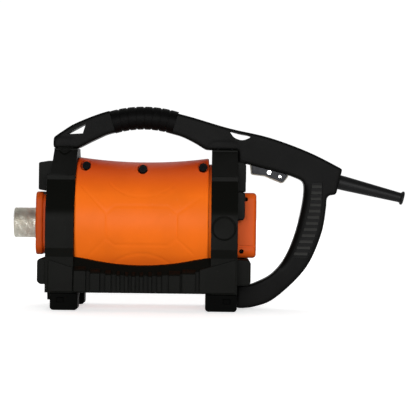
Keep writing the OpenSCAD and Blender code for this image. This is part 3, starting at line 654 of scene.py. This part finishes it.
handle_outline = (curve(top_line) + [(157.7, 168.2), (150.8, 138.6), (149, 137.1), (143.2, 137.1), (140.3, 135)]
                  + curve(grip_back) + [(40, 1), (33.3, 1), (33.3, 29.1)] + curve(grip_front)
                  + [(107, 155.2), (93.9, 160.3), (58.8, 169.1), (41.7, 173.5), (39, 172.4), (33.3, 172.4), (33.3, 189)]
                  + curve(arch_under) + [(-157.8, 189), (-187, 189), (-187, 200)])

handle = side_solid("handle", handle_outline, -handle_half_w, handle_half_w)
for foot_line in ([(-187, 189), (-187, 197), (-184, 201), (-163, 201), (-157.8, 191), (-157.8, 189)],
                  [(-3, 189), (-3, 192), (3, 199), (28, 199), (33.3, 195), (33.3, 189)]):
    fuse(handle, side_solid("handle_foot", foot_line, -16.4, 16.4))
finish_with(handle, "REMESH", mode="VOXEL", voxel_size=1.25 * mm)
finish_with(handle, "SMOOTH", factor=0.5, iterations=26)


def finger_side(x, y, z):
    """Draws the front of the rear grip in towards the middle plane, where the fingers go."""
    if not 45 < z < 150 or x < 85:
        return x, y, z
    near = min(math.hypot(x - px, z - pz) for px, pz in finger_line) / 10
    fade = min(1, (z - 45) / 14, (150 - z) / 10)
    return x, y * (1 - fade * 0.4 * (1 - math.sqrt(1 - max(0, 1 - near) ** 2))), z


finger_line = curve(grip_front, 8)
reshape(handle, finger_side)
cut(handle, side_solid("strap_hole", [(-171.5, 205.8), (-148.3, 218.8), (-152, 207)], -30, 30))
cut(handle, side_solid("half_moon", curve(half_moon), -30, 30))

# The parts that fit into the shells: the sleeve, the trigger, the grip panels and the boot
arc_centre, arc_r, sleeve_r, sleeve_half = (-79.5, 0, 96.5), 130, 13.8, 16.8


def bent_bar(name, radius, half_angle, sides=48, steps=128):
    """A round bar bent about the top grip's centre, over half_angle degrees to each side."""
    start = math.radians(90 - half_angle)
    outward = Vector((math.cos(start), 0, math.sin(start)))
    ring = [Vector(arc_centre) + outward * (arc_r + radius * math.cos(2 * math.pi * k / sides))
            + Vector((0, radius * math.sin(2 * math.pi * k / sides), 0)) for k in range(sides)]
    bar = loop(name, ring, "NOTHING")
    edit(bar, (bpy.ops.mesh.spin, {"steps": steps, "angle": math.radians(2 * half_angle),
                                   "center": Vector(arc_centre) * mm, "axis": (0, 1, 0)}))
    edit(bar, (bpy.ops.mesh.fill_holes, {"sides": 0}))
    return outwards(bar)


inlay_back = [(134.5, 152), (133.5, 120), (128.5, 91), (117, 62)]
inlay_front = [(99, 62), (110.5, 90), (118.5, 121), (121, 152)]
inlay_line = curve(inlay_back, 6) + [(117, 62)] + curve(inlay_front, 6) + [(121, 152)]

room = bent_bar("sleeve_room", 26, sleeve_half, 32, 48)
core = bent_bar("sleeve_core", sleeve_r - 2.5, sleeve_half + 1, 32, 48)
cut(handle, room)
fuse(handle, core)
cut(handle, side_solid("trigger_room", [(45, 140), (96.5, 140), (96.5, 171.5), (79, 171.5), (79, 179), (45, 179)],
                       -10.4, 10.4))
cut(handle, spun("boot_room", [(-6.5, 0), (-6.5, 8.9), (20, 8.9), (20, 0)], 48, boot_root, along_cable, across_cable))
for side in (-1, 1):
    cut(handle, side_solid("inlay_room", inlay_line, side * 12.4, side * 20))
for x, z in handle_screws:
    cut(handle, rod("screw_recess", x, z, 4.3, 10.6, 20, 32))

handle_plastic = plastic("handle_plastic", (0.0036, 0.0036, 0.0034), 0.45, (0.02, 0.02, 0.02), 1250, 0.00003, 0.4, 0.035)
for side, name in ((-1, "left"), (1, "right")):
    shell = half_of(handle, f"handle_shell_{name}", side, 0.1)
    smooth(shell, 34)
    placed(shell, "frame", "handle_plastic", handle_plastic, f"handle_{name}")
bpy.data.objects.remove(handle)

# ---- Grip sleeve and grip panels ----------------------------------------
# A soft sleeve with eight broad rings covers the top grip. Two soft panels
# with twelve cross bars are let into the sides of the rear grip.

soft_rubber = plastic("soft_rubber", (0.0028, 0.0028, 0.0027), 0.5, (0.02, 0.02, 0.02), 1700, 0.00004, 0.35, 0.035)
sleeve_rings = 8


def ring_sleeve(x, y, z):
    """Sinks a narrow groove between each two rings of the sleeve."""
    dx, dz = x - arc_centre[0], z - arc_centre[2]
    far = math.hypot(dx, dz)
    turn = (math.degrees(math.atan2(dx, dz)) + sleeve_half) / (2 * sleeve_half) * sleeve_rings
    near = abs(turn - min(sleeve_rings - 1, max(1, round(turn))))
    upright = min(1, abs(far - arc_r) / sleeve_r)
    sink = (0.3 + 0.9 * upright ** 2) * max(0, 1 - near / 0.13) ** 0.8
    rise = (far - arc_r) * (1 - sink / sleeve_r)
    return (arc_centre[0] + dx * (arc_r + rise) / far, y * (1 - sink / sleeve_r),
            arc_centre[2] + dz * (arc_r + rise) / far)


sleeve = bent_bar("ring_sleeve", sleeve_r, sleeve_half - 0.06, 56, 192)
reshape(sleeve, ring_sleeve)
cut(sleeve, bent_bar("sleeve_bore", sleeve_r - 2.4, sleeve_half + 2, 40, 48))
smooth(sleeve, 34)
placed(sleeve, "frame", "grip_rubber", soft_rubber, "handle_sleeve")


def across_panel(line, z):
    """Where an edge of the grip panel stands at a height."""
    for (ax, az), (bx, bz) in zip(line, line[1:]):
        if min(az, bz) <= z <= max(az, bz):
            return ax + (bx - ax) * (z - az) / (bz - az)
    return line[0][0]


def toward(middle, points, by):
    return [(middle[0] + (x - middle[0]) * by[0], middle[1] + (z - middle[1]) * by[1]) for x, z in points]


barred_rubber, at, shader = start_material("barred_rubber", 0.5)
shader.inputs["Specular IOR Level"].default_value = 0.08
y_part = at.make("ShaderNodeSeparateXYZ", {"Vector": at}, output=1)
# Painted light: the bars' tops are coloured lighter for their highlights, and the panel between them darker for shade.
bar_highlight_floor_shade = y_part.math("ABSOLUTE", y_part, 0).between(0.0134, 0.0146)
grain = at.noise(1700, 2)
feed(shader, Base_Color=bar_highlight_floor_shade.mix((0.0015, 0.0015, 0.0014, 1), (0.03, 0.03, 0.028, 1)),
     Roughness=grain.between(0, 1, 0.45, 0.6), Normal=bump(grain, 0.00004))

for side, name in ((-1, "left"), (1, "right")):
    panel = side_solid(f"grip_panel_{name}", toward((118, 108), inlay_line, (0.97, 0.996)), side * 12.5, side * 13.3)
    for k in range(12):
        z = 65 + 7.3 * k
        front, back = across_panel(inlay_front, z), across_panel(inlay_back, z)
        bar = side_solid("bar", [(front + 1, z), (back - 1, z), (back - 1, z + 3.4), (front + 1, z + 3.4)],
                         side * 13, side * 15.6)
        for vertex in bar.data.vertices:
            if vertex.co.z > (z + 2) * mm and abs(vertex.co.y) > 15 * mm:
                vertex.co.y = side * 14.4 * mm
        fuse(panel, round_edges(bar, 0.4, 2))
    smooth(panel, 30)
    placed(panel, "frame", "grip_rubber", barred_rubber, f"grip_inlay_{name}")

# ---- Trigger ------------------------------------------------------------
# A pressed channel in light metal turns on a bright pin under the beam. Its
# crossed rivet bears on the red plunger of the switch.

trigger_line = [(47.5, 173), (49.1, 160.4), (65.2, 158.6), (76.3, 154), (85.9, 150.3), (88.2, 151.8),
                (91.8, 156.2), (94, 159.4), (92, 163.5), (78, 168), (60, 171.5)]
channel_line = [(40, 180), (40, 163), (51, 163), (51, 162.2), (65.6, 160.6), (77, 156), (85.4, 152.8), (87, 153.8), (91.6, 160), (96, 180)]
squeeze = round_edges(side_solid("squeeze_trigger", trigger_line, -9.5, 9.5), 2, 4)
cut(squeeze, side_solid("channel", channel_line, -7.7, 7.7))
smooth(squeeze, 30)
trigger_metal, at, shader = start_material("trigger_metal", 0.4)
shader.inputs["Specular IOR Level"].default_value = 0.1
y_part = at.make("ShaderNodeSeparateXYZ", {"Vector": at}, output=1)
# Painted light: the flat cheeks are coloured near-black for shade, and the edges and underside light cream for the
# highlight they catch.
shaded_cheek = y_part.math("ABSOLUTE", y_part, 0).between(0.0089, 0.0094)
wear = at.noise(120, 5).between(0.45, 0.7)
feed(shader, Base_Color=shaded_cheek.mix((wear * 0.4).mix((0.62, 0.58, 0.48, 1), (0.4, 0.37, 0.3, 1)),
                                  (wear * 0.5).mix((0.013, 0.014, 0.018, 1), (0.03, 0.03, 0.033, 1))),
     Roughness=wear.between(0, 1, 0.34, 0.5), Normal=bump(at.noise(900, 2), 0.00003))
placed(squeeze, "trigger", "trigger_metal", trigger_metal, "trigger")
bright_steel = metal("bright_steel", (0.72, 0.72, 0.72), 0.2)
give(bright_steel, "trigger_pin", "trigger_rivet")

# ---- Cable boot ---------------------------------------------------------
# A tapered rubber boot comes out of the handle's rear end, sloping down, and
# ends in a rounded flange. Its bore is open for the mains cable.

boot_rubber = plastic("boot_rubber", (0.008, 0.008, 0.0083), 0.45, (0.03, 0.03, 0.03), 1500, 0.00003, 0.3, 0.1)
taper = [(6 + 69 * k / 20, 8.65 - 2.75 * k / 20) for k in range(21)]
boot = spun("boot_taper", [(-6.4, 5.1), (-6.4, 8.6), (-0.4, 8.6), (0, 8.65)] + taper
            + [(76, 6.4), (76.6, 7.5), (77.6, 8.1), (78.6, 8.2), (79.5, 7.7), (80, 6.6), (80, 5.1)],
            72, boot_root, along_cable, across_cable)
smooth(boot, 34)
placed(boot, "frame", "boot_rubber", boot_rubber, "cable_boot")

# ---- Floor, lights and camera -------------------------------------------
# The tool stands on a wide sheet of white paper with a white studio wall
# behind it. One large soft box lights it from the camera's side, a little
# above, and a weak one fills it from overhead.

paper, at, shader = start_material("white_paper", 0.7)
shader.inputs["Emission Strength"].default_value = 1
far_off = at.make("ShaderNodeVectorMath", {0: at}, output=1, operation="LENGTH").between(0.35, 1.0)
feed(shader, Base_Color=at.noise(3, 2).between(0.3, 0.7).mix((0.8, 0.8, 0.8, 1), (0.83, 0.83, 0.83, 1)),
     Emission_Color=far_off.mix((0.62, 0.62, 0.62, 1), (1, 1, 1, 1)))
deselect()
bpy.ops.mesh.primitive_circle_add(vertices=64, radius=9, fill_type="NGON")
floor = bpy.context.object
floor.name = "paper_floor"
edit(floor, (bpy.ops.mesh.inset, {"thickness": 6}))
floor.data.materials.append(paper)
floor.visible_diffuse = False


def lamp(name, place, aim, size, size_y, power):
    bpy.ops.object.light_add(type="AREA", location=place)
    light = bpy.context.object
    light.name = name
    light.rotation_euler = (Vector(aim) - Vector(place)).to_track_quat("-Z", "Y").to_euler()
    light.data.shape = "RECTANGLE"
    light.data.size, light.data.size_y, light.data.energy = size, size_y, power


lamp("soft_box", (0.1, -2.3, 0.48), (0, 0, 0.1), 2.0, 0.7, 56)
lamp("top_box", (-0.2, 0.3, 2.0), (0, 0, 0.1), 1.2, 0.8, 3)

studio = bpy.data.worlds.new("studio")
bpy.context.scene.world = studio
studio.use_nodes = True
direction = Wire(studio.node_tree, studio.node_tree.nodes.new("ShaderNodeTexCoord").outputs["Generated"])
behind = direction.make("ShaderNodeSeparateXYZ", {"Vector": direction}, output=1).between(0.1, 0.7, 0.04, 1.05)
background = studio.node_tree.nodes["Background"]
background.inputs["Color"].default_value = (1, 1, 1, 1)
studio.node_tree.links.new(behind.socket, background.inputs["Strength"])
bpy.context.scene.view_settings.view_transform = "Standard"

camera_place, camera_aim = Vector((0.0, -2.41, 0.135)), Vector((0.0005, 0, 0.1175))
bpy.ops.object.camera_add(location=camera_place)
camera = bpy.context.object
camera.data.lens = 172.5
camera.data.sensor_width = 36
camera.rotation_euler = (camera_aim - camera_place).to_track_quat("-Z", "Y").to_euler()
camera.rotation_euler.rotate_axis("Z", math.radians(0.7))
bpy.context.scene.camera = camera
